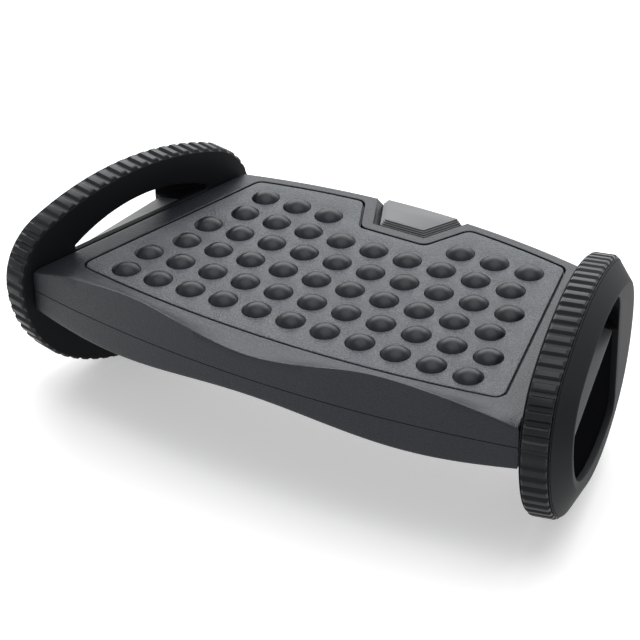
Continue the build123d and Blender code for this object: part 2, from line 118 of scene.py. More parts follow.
def plate(loops, lattice=None):
    """Triangles between an outer loop and the holes in it, with lattice points where the plate is bent.

    A triangle belongs to the plate if a ray from its middle crosses the loops an odd number of times.
    """
    points = np.vstack(loops if lattice is None else [*loops, lattice])
    ends = np.cumsum([len(loop) for loop in loops])
    after = np.arange(1, ends[-1] + 1)
    after[ends - 1] = np.concatenate([[0], ends[:-1]])
    edges = np.column_stack([np.arange(ends[-1]), after])
    flat, _, faces, _, _, _ = delaunay_2d_cdt(points.tolist(), edges.tolist(), [], 1, 1e-7)
    flat, faces = np.array(flat), np.array(faces)
    x, y = flat[faces].mean(axis=1).T[:, :, None]
    (ax, ay), (bx, by) = points[edges[:, 0]].T, points[edges[:, 1]].T
    level = np.where(by == ay, 1.0, by - ay)
    crossed = ((ay > y) != (by > y)) & (x < ax + (bx - ax) * (y - ay) / level)
    used, faces = np.unique(faces[crossed.sum(axis=1) % 2 == 1], return_inverse=True)
    return flat[used], faces.reshape(-1, 3)


class Skin:
    """Grids, plates and lids of one piece, in millimetres, that make one closed mesh."""

    def __init__(self):
        self.points, self.faces, self.count = [], [], 0

    def add(self, points, faces):
        """Points with faces that count from the first of them."""
        points = np.asarray(points).reshape(-1, 3)
        self.points.append(points)
        self.faces += (np.asarray(faces) + self.count).tolist()
        self.count += len(points)

    def grid(self, rows, closed=False):
        """Rows of loops joined by quads; closed joins the last row to the first."""
        rows = np.asarray(rows)
        m, n, _ = rows.shape
        index = np.arange(m * n).reshape(m, n)
        ahead = np.roll(index, -1, axis=1)
        low, high = index[: m if closed else m - 1], np.roll(index, -1, axis=0)[: m if closed else m - 1]
        low_ahead, high_ahead = ahead[: len(low)], np.roll(ahead, -1, axis=0)[: len(low)]
        self.add(rows, np.stack([low, low_ahead, high_ahead, high], axis=-1).reshape(-1, 4))

    def lid(self, loop):
        """One flat face over a loop."""
        self.add(loop, [np.arange(len(loop))])

    def piece(self, name, material, slot, body, *nodes, corner=32.0):
        """Mesh object in metres: doubles merged, faces outwards, smooth except over its sharp corners."""
        mesh = bpy.data.meshes.new(name)
        mesh.from_pydata((np.vstack(self.points) / 1000).tolist(), [], self.faces)
        work = bmesh.new()
        work.from_mesh(mesh)
        bmesh.ops.remove_doubles(work, verts=work.verts, dist=2e-6)
        bmesh.ops.dissolve_degenerate(work, edges=work.edges, dist=1e-7)
        bmesh.ops.recalc_face_normals(work, faces=work.faces)
        work.to_mesh(mesh)
        work.free()
        mesh.shade_smooth()
        mesh.set_sharp_from_angle(angle=np.radians(corner))
        piece = bpy.data.objects.new(name, mesh)
        bpy.context.scene.collection.objects.link(piece)
        mesh.materials.append(material)
        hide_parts(*nodes)
        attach(piece, body)
        return piece


class Shade:
    """A socket of a material; sums, differences and products of sockets add Math nodes."""

    def __init__(self, tree, socket=None):
        self.tree, self.socket = tree, socket

    def node(self, kind, settings=None, inputs=None, out=0):
        """Node of any type: its settings first, then values or links for its sockets."""
        made = self.tree.nodes.new(kind)
        for key, value in (settings or {}).items():
            setattr(made, key, value)
        for key, value in (inputs or {}).items():
            if isinstance(value, Shade):
                self.tree.links.new(value.socket, made.inputs[key])
            else:
                made.inputs[key].default_value = value
        return Shade(self.tree, made.outputs[out])

    def math(self, operation, first, second):
        return self.node("ShaderNodeMath", {"operation": operation}, {0: first, 1: second})

    def __add__(self, other):
        return self.math("ADD", self, other)

    def __sub__(self, other):
        return self.math("SUBTRACT", self, other)

    def __rsub__(self, other):
        return self.math("SUBTRACT", other, self)

    def __mul__(self, other):
        return self.math("MULTIPLY", self, other)

    __radd__, __rmul__ = __add__, __mul__

    def step(self, low, high):
        """Smooth step from 0 at low to 1 at high."""
        return self.node("ShaderNodeMapRange", {"interpolation_type": "SMOOTHSTEP"},
                         {"Value": self, "From Min": low, "From Max": high})

    def tint(self, first, second):
        """Colour from first to second."""
        return self.node("ShaderNodeMix", {"data_type": "RGBA"}, {0: self, 6: first, 7: second}, 2)

    def seen(self):
        """1 for rays that show the backdrop: from the camera, by a reflection or through something clear."""
        path = self.node("ShaderNodeLightPath").socket.node.outputs
        straight, mirrored, through = (Shade(self.tree, path[key])
                                       for key in ("Is Camera Ray", "Is Glossy Ray", "Is Transmission Ray"))
        return self.math("MAXIMUM", straight, self.math("MAXIMUM", mirrored, through))

    def noise(self, scale, detail=2.0, rough=0.5):
        """Cloudy noise over the piece; the scale is in spots per metre."""
        place = self.node("ShaderNodeTexCoord", out="Object")
        return self.node("ShaderNodeTexNoise", {}, {"Vector": place, "Scale": scale, "Detail": detail,
                                                    "Roughness": rough})

    def pebbles(self, scale):
        """Distance to the nearest of many scattered points: small round pebbles."""
        place = self.node("ShaderNodeTexCoord", out="Object")
        return self.node("ShaderNodeTexVoronoi", {"feature": "F1"}, {"Vector": place, "Scale": scale})


def finish(name, **fixed):
    """New material with its constant sockets set: the material, its tree and its surface shader."""
    material = bpy.data.materials.new(name)
    material.use_nodes = True
    shader = material.node_tree.nodes["Principled BSDF"]
    for key, value in fixed.items():
        shader.inputs[key.replace("_", " ")].default_value = value
    return material, Shade(material.node_tree), shader


def surface(shade, shader, colour, roughness, height, depth, strength):
    """Joins colour, roughness and a bump of the given depth in metres to a surface shader."""
    bump = shade.node("ShaderNodeBump", {}, {"Height": height, "Distance": depth, "Strength": strength})
    for key, value in (("Base Color", colour), ("Roughness", roughness), ("Normal", bump)):
        shade.tree.links.new(value.socket, shader.inputs[key])


def grained_plastic(name, dark, light, gloss):
    """Spark-eroded mould grain: pebbles half a millimetre across, faint cloudy colour and a soft gloss."""
    material, shade, shader = finish(name, Specular_IOR_Level=0.3, Specular_Tint=(0.88, 0.93, 1, 1))
    pebble = shade.pebbles(1000.0)
    grain = shade.noise(850.0, 3.0, 0.6)
    cloud = shade.noise(14.0, 3.0, 0.6)
    mix = (0.75 * grain + 0.35 * pebble + 0.3 * cloud).step(0.4, 0.95)
    surface(shade, shader, mix.tint(dark, light), gloss - 0.06 + 0.14 * cloud,
            pebble + 0.8 * grain, 0.00025, 0.75)
    return material


shell_plastic = grained_plastic("grained_shell_plastic", (0.0035, 0.004, 0.0054, 1),
                                (0.0165, 0.0185, 0.0235, 1), 0.36)


def underside(loop):
    """Height of the base's underside: two bulges along the front edge, easing to a level rear edge."""
    x, y = loop.T
    front = front_middle - np.sqrt(front_bow**2 - x**2)
    rear = rear_middle + np.sqrt(rear_bow**2 - x**2)
    share = (y - front) / (rear - front)
    drop = under_front + under_bulge * (1 - np.cos(2 * np.pi * x / bulge_wave)) / 2
    return hub_height - (1 - share) * drop - share * under_rear


base = Skin()
rim = platform_loop()
foot = platform_loop(shell_wall, shell_wall, shell_wall)
base_rows = [at_height(foot, inner_lid), at_height(foot, hub_height - 0.03),
             at_height(platform_loop(1, 1, 1), hub_height - 0.03),
             at_height(platform_loop(0.12, 0.12, 0.12), hub_height - 0.6 * seam_half),
             at_height(rim, hub_height - seam_half)]
for share in (0.35, 0.7, 1.0):
    base_rows.append(at_height(rim, (1 - share) * (hub_height - seam_half) + share * (underside(rim) + base_edge)))
for turn in np.radians((22.5, 45, 67.5, 90)):
    inset = base_edge * (1 - np.cos(turn))
    loop = platform_loop(inset, inset, inset)
    base_rows.append(at_height(loop, underside(loop) + base_edge * (1 - np.sin(turn))))
base.grid(base_rows)
base.lid(base_rows[0])
holes = [circle(place, screw_sink, 28) for place in screw_places]
inside = np.vstack([platform_loop(d, d, d)[::4] for d in range(10, 118, 9)])
clear = np.linalg.norm(inside[:, None] - screw_places, axis=2).min(axis=1) > screw_sink + 3
under, under_faces = plate([loop, *holes], inside[clear])
base.add(at_height(under, underside(under)), under_faces)
for hole in holes:
    base.grid([at_height(hole, underside(hole)), at_height(hole, screw_seat)])
    base.lid(at_height(hole, screw_seat))
base.piece("base_shell_moulding", shell_plastic, "shell", "platform", "base_shell")

# Hub pieces inside the platform's ends: acetal bushes, black fibre friction discs, plated washers,
# screws and stop pins. They stay as built and get their own finishes.
bush_plastic, shade, shader = finish("acetal", Specular_IOR_Level=0.5)
cloud = shade.noise(60.0, 3.0)
surface(shade, shader, cloud.tint((0.56, 0.55, 0.5, 1), (0.68, 0.67, 0.63, 1)), 0.28 + 0.12 * cloud,
        shade.noise(900.0), 0.00005, 0.3)
disc_fibre, shade, shader = finish("friction_fibre", Specular_IOR_Level=0.3)
flecks = shade.noise(1300.0, 4.0, 0.7)
surface(shade, shader, flecks.step(0.35, 0.7).tint((0.03, 0.028, 0.026, 1), (0.1, 0.09, 0.08, 1)),
        0.8 + 0.1 * flecks, flecks, 0.0001, 0.6)
zinc, shade, shader = finish("zinc_plate", Metallic=1.0)
spangle = shade.noise(420.0, 3.0, 0.6)
surface(shade, shader, spangle.tint((0.42, 0.42, 0.43, 1), (0.62, 0.62, 0.62, 1)), 0.24 + 0.22 * spangle,
        spangle, 0.00004, 0.4)
for node, material in (("hub_bush", bush_plastic), ("friction_disc", disc_fibre), ("spring_washer", zinc),
                       ("retaining_washer", zinc), ("hub_screw", zinc), ("stop_pin", zinc), ("cover_screws", zinc)):
    for end in ("right_", "left_"):
        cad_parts[end + node].data.materials.clear()
        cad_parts[end + node].data.materials.append(material)
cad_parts["shell_screws"].data.materials.clear()
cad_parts["shell_screws"].data.materials.append(zinc)

# Top shell: deck moulding with two heel lips along its front edge, a pocket for the mat and, at the rear,
# a sloping channel round the name plate block. Same grained plastic as the base.
deck = hub_height + 16.3
deck_edge = 1.3
pocket_floor, channel_floor = deck - 4.0, deck - 5.0
channel_width, block_clear = 4.5, 0.4
notch_front, notch_half, notch_spread = 88.0, 18.5, 15.5 / 32.0
mat_front, mat_rear, mat_end, mat_channel, mat_radius = 28.0, 8.0, 17.0, 13.5, 9.0
lip_high, lip_low, lip_place, lip_fall, lip_power = 17.0, 2.7, 100.0, 20.0, 1.8
lip_ramp, lip_facet = 26.0, 6.0


def round_corners(loop, corners, radius):
    """Loop with its points near each corner moved onto an arc that both sides touch.

    The arc's centre lies on the bisector; a point's distance along the loop sets its angle on the arc.
    """
    out = loop.copy()
    span = np.linalg.norm(np.roll(loop, -1, axis=0) - loop, axis=1)
    place = np.concatenate([[0], np.cumsum(span)])
    total, place = place[-1], place[:-1]
    for corner in corners:
        here = loop[corner]
        before, after = here - loop[corner - 1], loop[(corner + 1) % len(loop)] - here
        before, after = before / np.linalg.norm(before), after / np.linalg.norm(after)
        turn = np.arctan2(before[0] * after[1] - before[1] * after[0], before @ after)
        bisector = (after - before) / np.linalg.norm(after - before)
        centre = here + bisector * radius / np.cos(turn / 2)
        along = (place - place[corner] + total / 2) % total - total / 2
        share = along / (radius * np.tan(abs(turn) / 2))
        near = abs(share) < 1
        angle = np.arctan2(*(here - centre)[::-1]) + share[near] * turn / 2
        out[near] = centre + radius * np.column_stack([np.cos(angle), np.sin(angle)])
    return out


def block_notch(grow):
    """Notch for the name plate block, grown by this much on its front and sides."""
    half = notch_half + grow * (np.sqrt(1 + notch_spread**2) - notch_spread)
    return notch_front - grow, half, notch_spread


def mat_loop(inset):
    """Outline of the mat's pocket moved inwards: it follows the platform's edges and goes round the channel."""
    sharp = platform_loop(mat_front + inset, mat_rear + inset, mat_end + inset, block_notch(mat_channel + inset))
    return round_corners(sharp, (0, 160, 200, 240, 254, 278, 292, 332), mat_radius - inset)


def heel_lip(x):
    """Front edge above the deck: a wave between the two lips, then a late fall to the end corners."""
    past = abs(x) / lip_place - 1
    between = lip_low + (lip_high - lip_low) * (1 - np.cos(np.pi * x / lip_place)) / 2
    return np.where(past > 0, lip_high - lip_fall * np.maximum(past, 0)**lip_power, between)


def deck_height(loop):
    """Deck level, plus the lip's hollow ramp behind the front edge, or a short facet where the lip dips."""
    x, y = loop.T
    behind = y - (front_middle - np.sqrt(front_bow**2 - x**2))
    lip = heel_lip(x)
    ramp = np.clip(1 - behind / lip_ramp, 0, 1)**2
    facet = np.clip(1 - behind / lip_facet, 0, 1)
    return deck + np.maximum(lip, 0) * ramp + np.minimum(lip, 0) * facet


in_channel = np.zeros(len(rim), bool)
in_channel[240:293] = True


def deck_rim(inset, grow):
    """Outer loop of the top shell with the channel grown by its own amount."""
    return platform_loop(inset, inset, inset, block_notch(grow))


top = Skin()
pocket = mat_loop(-0.45)
brink = deck_rim(deck_edge, channel_width + deck_edge)
outer = deck_rim(0, channel_width)
outer_height = deck_height(outer)
top_rows = [at_height(mat_loop(0), pocket_floor), at_height(mat_loop(0), deck - 0.45),
            at_height(mat_loop(-0.13), deck - 0.13), at_height(pocket, deck)]
for share in (0.07, 0.15, 0.24, 0.33, 0.42, 0.51, 0.6, 0.68, 0.75, 0.81, 0.86, 0.91, 0.96):
    loop = (1 - share) * pocket + share * brink
    top_rows.append(at_height(loop, deck_height(loop)))
brink_drop = deck_height(brink) - outer_height
for turn in np.radians((0, 22.5, 45, 67.5, 90)):
    inset = deck_edge * (1 - np.sin(turn))
    height = outer_height + brink_drop * np.cos(turn) - deck_edge * (1 - np.cos(turn))
    top_rows.append(at_height(deck_rim(inset, channel_width + inset), height))
wall_top = outer_height - deck_edge
for share in (0.3, 0.65, 1.0):
    foot_height = np.where(in_channel, channel_floor, hub_height + seam_half)
    loop = deck_rim(0, (1 - share) * channel_width + share * block_clear)
    top_rows.append(at_height(loop, (1 - share) * wall_top + share * foot_height))
foot_height = np.where(in_channel, channel_floor - 0.5, hub_height + 0.6 * seam_half)
top_rows.append(at_height(deck_rim(0.12, block_clear), foot_height))
foot_height = np.where(in_channel, channel_floor - 1.5, hub_height + 0.03)
top_rows.append(at_height(deck_rim(1, block_clear), foot_height))
top_rows.append(at_height(deck_rim(shell_wall, 2 * block_clear), foot_height))
top_rows.append(at_height(deck_rim(shell_wall, 2 * block_clear), pocket_floor - shell_wall))
top.grid(top_rows, closed=True)

# The channel's floor and the rear wall below it, between the ends of the channel's sides
floor_depth, floor_narrow, floor_spread = block_notch(block_clear)
floor_wide, _ = meet(floor_narrow - floor_spread * floor_depth, -floor_spread, rear_bow, rear_middle, 1)
across = np.linspace(-1, 1, 49)
rear_line = np.column_stack([across * floor_wide, rear_middle + np.sqrt(rear_bow**2 - (across * floor_wide)**2)])
front_line = np.column_stack([across * floor_narrow, np.full(49, floor_depth)])
back_line = rear_line - (0, shell_wall)
sill = [at_height(front_line, channel_floor), at_height(rear_line - (0, 0.5), channel_floor),
        at_height(rear_line, channel_floor - 0.5), at_height(rear_line, hub_height + seam_half),
        at_height(rear_line - (0, 0.5), hub_height + 0.1), at_height(back_line, hub_height + 0.1),
        at_height(back_line, channel_floor - shell_wall), at_height(front_line, channel_floor - shell_wall)]
top.grid(np.swapaxes(sill, 0, 1))
top.lid(np.array(sill)[:, 0])
top.lid(np.array(sill)[::-1, -1])
top.piece("top_shell_moulding", shell_plastic, "shell", "platform", "top_shell")

# Massage domes: soft dark rubber domes on one thin sheet that lies at the bottom of the mat's pocket,
# standing up through the mat's round holes in six rows.
dome_radius, dome_rise, dome_pitch = 10.3, 5.0, 28.0
front_row, block_room = -63.8, 40.0
sheet_low, sheet_top, sheet_gap = pocket_floor, pocket_floor + 1.5, 0.9
rows = [((np.arange(count) - (count - 1) / 2) * dome_pitch, front_row + row * dome_pitch)
        for row, count in enumerate((11, 11, 10, 10, 9, 9))]
rows[5] = (rows[5][0][abs(rows[5][0]) > block_room], rows[5][1])
dome_places = np.vstack([np.column_stack([x, np.full(len(x), y)]) for x, y in rows])

dome_rubber, shade, shader = finish("dome_rubber", Specular_IOR_Level=0.22, Specular_Tint=(0.88, 0.93, 1, 1))
fine = shade.noise(700.0, 4.0, 0.65)
bloom = shade.noise(45.0, 3.0, 0.6)
speckle = (0.6 * fine + 0.4 * bloom).step(0.3, 0.75)
surface(shade, shader, speckle.tint((0.0048, 0.0054, 0.0068, 1), (0.0095, 0.0106, 0.0128, 1)),
        0.28 + 0.1 * bloom, fine, 0.00008, 0.35)


def dome_rows(place):
    """One dome: a skirt up from the sheet and a spherical cap, turned about its axis."""
    cap = (dome_radius**2 + dome_rise**2) / (2 * dome_rise)
    angle = np.linspace(np.arcsin(dome_radius / cap), 0.02, 12)
    radius = np.concatenate([[dome_radius, dome_radius], cap * np.sin(angle)])
    height = np.concatenate([[sheet_top - 0.7, deck - 0.02], deck + dome_rise - cap * (1 - np.cos(angle))])
    return np.array([at_height(circle(place, r, 40), z) for r, z in zip(radius, height)])


domes = Skin()
for place in dome_places:
    stack = dome_rows(place)
    domes.grid(stack)
    domes.lid(stack[-1])
    domes.lid(stack[0][::-1])
sheet = mat_loop(sheet_gap)
sheet_rows = [at_height(sheet, sheet_low), at_height(sheet, sheet_top)]
domes.grid(sheet_rows)
domes.lid(sheet_rows[0][::-1])
domes.lid(sheet_rows[1])
domes.piece("massage_domes", dome_rubber, "dome", "platform", "massage_dome_sheet", corner=40.0)

# Foot mat: a grained grey plate flush with the deck, laid over the dome sheet in its pocket. An open
# groove runs round it, and each dome stands through its own round hole.
mat_foot = sheet_top
mat_gap, mat_edge = 1.6, 0.7
hole_radius, hole_edge = dome_radius + 0.3, 0.25

mat_leather, shade, shader = finish("leather_grain", Specular_IOR_Level=0.5, Specular_Tint=(0.88, 0.93, 1, 1))
pebble = shade.pebbles(800.0)
speck = shade.noise(900.0, 4.0, 0.7)
patch = shade.noise(22.0, 3.0, 0.6)
grain = (0.6 * pebble + 0.75 * speck + 0.25 * patch).step(0.45, 1.1)
surface(shade, shader, grain.tint((0.012, 0.0133, 0.016, 1), (0.073, 0.0785, 0.0875, 1)), 0.42 + 0.16 * patch,
        pebble + 0.9 * speck, 0.0004, 0.8)

mat = Skin()
mat_rows = [at_height(mat_loop(mat_gap), mat_foot), at_height(mat_loop(mat_gap), deck - mat_edge)]
for turn in np.radians((22.5, 45, 67.5, 90)):
    inset = mat_gap + mat_edge * (1 - np.cos(turn))
    mat_rows.append(at_height(mat_loop(inset), deck - mat_edge * (1 - np.sin(turn))))
mat.grid(mat_rows)
mat_holes, mat_top_holes = [], []
for place in dome_places:
    wall = circle(place, hole_radius, 40)
    bend = circle(place, hole_radius + 0.28 * hole_edge, 40)
    lip = circle(place, hole_radius + hole_edge, 40)
    mat.grid([at_height(wall, mat_foot), at_height(wall, deck - hole_edge), at_height(bend, deck - 0.28 * hole_edge),
              at_height(lip, deck)])
    mat_holes.append(wall)
    mat_top_holes.append(lip)
for loops, height in (([mat_rows[-1][:, :2], *mat_top_holes], deck), ([mat_rows[0][:, :2], *mat_holes], mat_foot)):
    flat, faces = plate(loops)
    mat.add(at_height(flat, height), faces)
mat.piece("foot_mat_plate", mat_leather, "mat", "platform", "foot_mat")

# Name plate block: a tapered smooth block let into the channel at the rear edge, its front and sides cut
# in fine steps. It is moulded apart and pressed in; its face is bare.
block_top, block_back, block_corner = deck + 0.8, rear_bow - 0.3, 2.2
step_count, step_tread, step_drop = 3, 1.1, 1.2
block_plastic, shade, shader = finish("smooth_block_plastic", Specular_IOR_Level=0.5)
haze = shade.noise(35.0, 3.0, 0.6)
surface(shade, shader, haze.tint((0.085, 0.088, 0.093, 1), (0.11, 0.113, 0.119, 1)), 0.38 + 0.12 * haze,
        shade.noise(800.0, 3.0), 0.00003, 0.25)


def block_loop(inset):
    """Outline of the block: its notch moved inwards, closed along the platform's rear edge."""
    depth, narrow, spread = block_notch(-inset)
    wide, mouth = meet(narrow - spread * depth, -spread, block_back, rear_middle, 1)
    loop = np.vstack([run((-wide, mouth), (-narrow, depth), 20), run((-narrow, depth), (narrow, depth), 24),
                      run((narrow, depth), (wide, mouth), 20),
                      bowed(wide, -wide, 40, block_back, rear_middle, 1)])
    return round_corners(loop, (20, 44), block_corner)


block = Skin()
block_rows = [at_height(block_loop(0), channel_floor + 0.02)]
for step in range(step_count):
    tread, inset = block_top - (step_count - step) * step_drop, step * step_tread
    block_rows += [at_height(block_loop(inset), tread - 0.25), at_height(block_loop(inset + 0.08), tread - 0.07),
                   at_height(block_loop(inset + 0.25), tread), at_height(block_loop(inset + step_tread - 0.05), tread),
                   at_height(block_loop(inset + step_tread), tread + 0.05)]
inset = step_count * step_tread
block_rows += [at_height(block_loop(inset), block_top - 0.35), at_height(block_loop(inset + 0.1), block_top - 0.1),
               at_height(block_loop(inset + 0.35), block_top)]
block.grid(block_rows)
block.lid(block_rows[0][::-1])
block.lid(block_rows[-1])
block.piece("name_plate_block", block_plastic, "badge", "platform", "badge_block", corner=28.0)

# Wheel bodies: black satin plastic. A flat web with the handle hole, a rim with two rounded lips that
# hold the tyre, a spigot that turns in the hub bush, an arc groove for the stop pin and four screw sinks.
end_gap, web_face, rim_face = 2.2, 6.7, 22.7
lip_round = 0.5
seat_drop, rim_inset = 4.0, 8.0
wheel_oval = np.array((110.8, 57.9, 93.3, 46.0, 86.0))
handle_chord, handle_half, handle_height, handle_shift, handle_corner = 15.2, 71.5, 20.4, 4.0, 2.5
groove_radius, groove_half, groove_swing, groove_depth = 30.0, 2.9, np.radians(20.0), 3.0
spigot_radius, spigot_end = 6.0, -23.6
sink_radius, sink_depth, sink_reach, sink_spread = 3.1, 2.05, 96.5, 9.0


def oval_loop(half_length, rise, drop, upper_radius, lower_radius):
    """Closed oval of six arcs that touch each other, anticlockwise from its rear end at hub level.

    Each half has two end arcs and a long arc between them, whose radius follows from the rise or drop.
    """
    runs = []
    for height, radius, sign in ((rise, upper_radius, 1), (drop, lower_radius, -1)):
        reach = half_length - radius
        long_radius = (reach**2 + height**2 - radius**2) / (2 * (height - radius))
        turn = np.arctan2(long_radius - height, reach)
        near = np.linspace(0, turn, 40, endpoint=False)
        middle = np.linspace(turn, np.pi - turn, 60, endpoint=False)
        u = np.concatenate([reach + radius * np.cos(near), long_radius * np.cos(middle),
                            -reach - radius * np.cos(turn - near)])
        v = np.concatenate([radius * np.sin(near), height - long_radius + long_radius * np.sin(middle),
                            radius * np.sin(turn - near)])
        runs.append(np.column_stack([u * sign, v * sign]))
    return np.vstack(runs)


def wheel_loop(inset):
    """Rim lip outline moved inwards."""
    return oval_loop(*(wheel_oval - inset))


def at_wheel(points, side):
    """Wheel points (rearwards, up, outwards from the platform's end face) placed at the right or left end."""
    u, v, w = np.moveaxis(np.asarray(points), -1, 0)
    x = platform_reach + w * np.cos(toe) - u * np.sin(toe)
    return np.stack([side * x, w * np.sin(toe) + u * np.cos(toe), hub_height + v], axis=-1)


def handle_loop(grow):
    """Handle hole: a straight lower edge under a long arc, its two ends rounded, grown by this much."""
    radius = (handle_half**2 + handle_height**2) / (2 * handle_height)
    span = np.arcsin(handle_half / radius)
    arc = np.linspace(span, -span, 72, endpoint=False)
    top_arc = np.column_stack([handle_shift + radius * np.sin(arc),
                               handle_chord + handle_height - radius + radius * np.cos(arc)])
    chord = run((handle_shift - handle_half, handle_chord), (handle_shift + handle_half, handle_chord), 60)
    loop = round_corners(np.vstack([chord, top_arc]), (0, 60), handle_corner)
    along = np.roll(loop, -1, axis=0) - np.roll(loop, 1, axis=0)
    outward = np.column_stack([along[:, 1], -along[:, 0]]) / np.linalg.norm(along, axis=1)[:, None]
    return loop + grow * outward


def groove_loop():
    """Arc groove for the stop pin about the hub: two arcs that swing evenly each way, joined by round ends."""
    turn = np.linspace(-groove_swing, groove_swing, 20)
    bend = np.linspace(0, np.pi, 10)[1:-1]

    def arc(radius, angle):
        return radius * np.column_stack([np.cos(angle), np.sin(angle)])

    ends = [arc(groove_radius, [middle]) + arc(groove_half, middle + half_turn)
            for middle, half_turn in ((groove_swing, bend), (-groove_swing, bend + np.pi))]
    return np.vstack([arc(groove_radius + groove_half, turn), ends[0],
                      arc(groove_radius - groove_half, turn[::-1]), ends[1]])


wheel_black, shade, shader = finish("satin_black_plastic", Specular_IOR_Level=0.12, Specular_Tint=(0.9, 0.94, 1, 1))
fine = shade.noise(1000.0, 3.0, 0.6)
cloud = shade.noise(16.0, 3.0, 0.6)
speckle = (0.4 * fine + 0.6 * cloud).step(0.3, 0.75)
surface(shade, shader, speckle.tint((0.006, 0.0062, 0.0072, 1), (0.01, 0.0104, 0.0117, 1)),
        0.5 + 0.14 * cloud, fine, 0.00006, 0.35)

lip_turn = np.radians((0, 30, 60, 90, 120, 150, 180))
lip_inset = lip_round * (1 - np.sin(lip_turn))
lip_along = lip_round * (1 - np.cos(lip_turn))
rim_profile = [(i, end_gap + w) for i, w in zip(lip_inset, lip_along)]
rim_profile += [(seat_drop, end_gap + 2 * lip_round), (seat_drop, rim_face - 2 * lip_round)]
rim_profile += [(i, rim_face - 2 * lip_round + w) for i, w in zip(lip_inset, lip_along)]
rim_profile += [(rim_inset, rim_face), (rim_inset, web_face)]
handle_edge = 0.7
handle_profile = [(handle_edge * (1 - np.sin(a)), end_gap + handle_edge * (1 - np.cos(a)))
                  for a in np.radians((0, 30, 60, 90))]
handle_profile += [(grow, end_gap + web_face - w) for grow, w in handle_profile[::-1]]
spigot = circle((0, 0), spigot_radius, 40)
sinks = [circle((u, v), sink_radius, 24) for u in (-sink_reach, sink_reach) for v in (-sink_spread, sink_spread)]
groove = groove_loop()
for side, end in ((1, "right"), (-1, "left")):
    wheel = Skin()
    wheel.grid(at_wheel([at_height(wheel_loop(inset), w) for inset, w in rim_profile], side))
    wheel.grid(at_wheel([at_height(handle_loop(grow), w) for grow, w in handle_profile], side))
    flat, faces = plate([wheel_loop(lip_round), handle_loop(handle_edge), groove, *sinks])
    wheel.add(at_wheel(at_height(flat, end_gap), side), faces)
    flat, faces = plate([wheel_loop(rim_inset), handle_loop(handle_edge)])
    wheel.add(at_wheel(at_height(flat, web_face), side), faces)
    for pit, depth in [(groove, groove_depth)] + [(sink, sink_depth) for sink in sinks]:
        wheel.grid(at_wheel([at_height(pit, end_gap), at_height(pit, end_gap + depth)], side))
        wheel.lid(at_wheel(at_height(pit, end_gap + depth), side))
    stub = at_wheel([at_height(spigot, end_gap + 0.5), at_height(spigot, spigot_end)], side)
    wheel.grid(stub)
    wheel.lid(stub[0])
    wheel.lid(stub[1][::-1])
    wheel.piece(f"{end}_wheel_moulding", wheel_black, "wheel", f"{end}_wheel", f"{end}_wheel_body")

# Wheel covers: bevelled outer rings in the same black plastic, screwed on from the inside. A broad bevel
# rises to a flat face, which is widest behind the opening. The opening is closed by a sunk face, from whose
# upper edge the handle's floor slopes in to the web; above that it stays open, right through the wheel.
cover_face = 34.0
crease = 0.9
cover_oval = wheel_oval - (15.8, 12.6, 24.0, 12.6, 24.0)
opening_oval = cover_oval - (4.0, 1.2, 10.5, 1.2, 10.5)
opening_rear, opening_corner = 42.0, 13.0
well_face, well_edge, well_slope, well_round = 29.5, 3.0, 0.135, 0.8


def cover_loop(inset):
    """Edge of the flat outer face, moved inwards."""
    return oval_loop(*(cover_oval - inset))


def from_middle(loop, middle, angles):
    """Loop sampled where rays from a middle point at these angles cross it."""
    offset = loop - middle
    angle = np.arctan2(offset[:, 1], offset[:, 0])
    order = np.argsort(angle)
    distance = np.linalg.norm(offset, axis=1)
    reach = np.interp(angles, angle[order], distance[order], period=2 * np.pi)
    return middle + reach[:, None] * np.column_stack([np.cos(angles), np.sin(angles)])


def opening_loop(inset):
    """Opening: an oval inside the flat face, cut off straight at its rear with two rounded corners."""
    oval = oval_loop(*(opening_oval - inset))
    rear = opening_rear - inset
    keep = oval[:, 0] < rear
    first = np.flatnonzero(~keep[:140])[-1] + 1
    last = np.flatnonzero(~keep[140:])[0] + 139
    high = np.interp(rear, oval[[first, first - 1], 0], oval[[first, first - 1], 1])
    low = np.interp(rear, oval[[last, last + 1], 0], oval[[last, last + 1], 1])
    kept = oval[first:last + 1]
    loop = np.vstack([run((rear, low), (rear, high), 60), [(rear, high)], kept])
    return round_corners(loop, (0, 60), opening_corner - inset)


opening_middle = np.array((-20.0, -2.0))
corner_angles = np.linspace(-np.pi, np.pi, 420, endpoint=False)


def ray_loop(loop):
    """Loop sampled at the cover's shared ray angles."""
    return from_middle(loop, opening_middle, corner_angles)


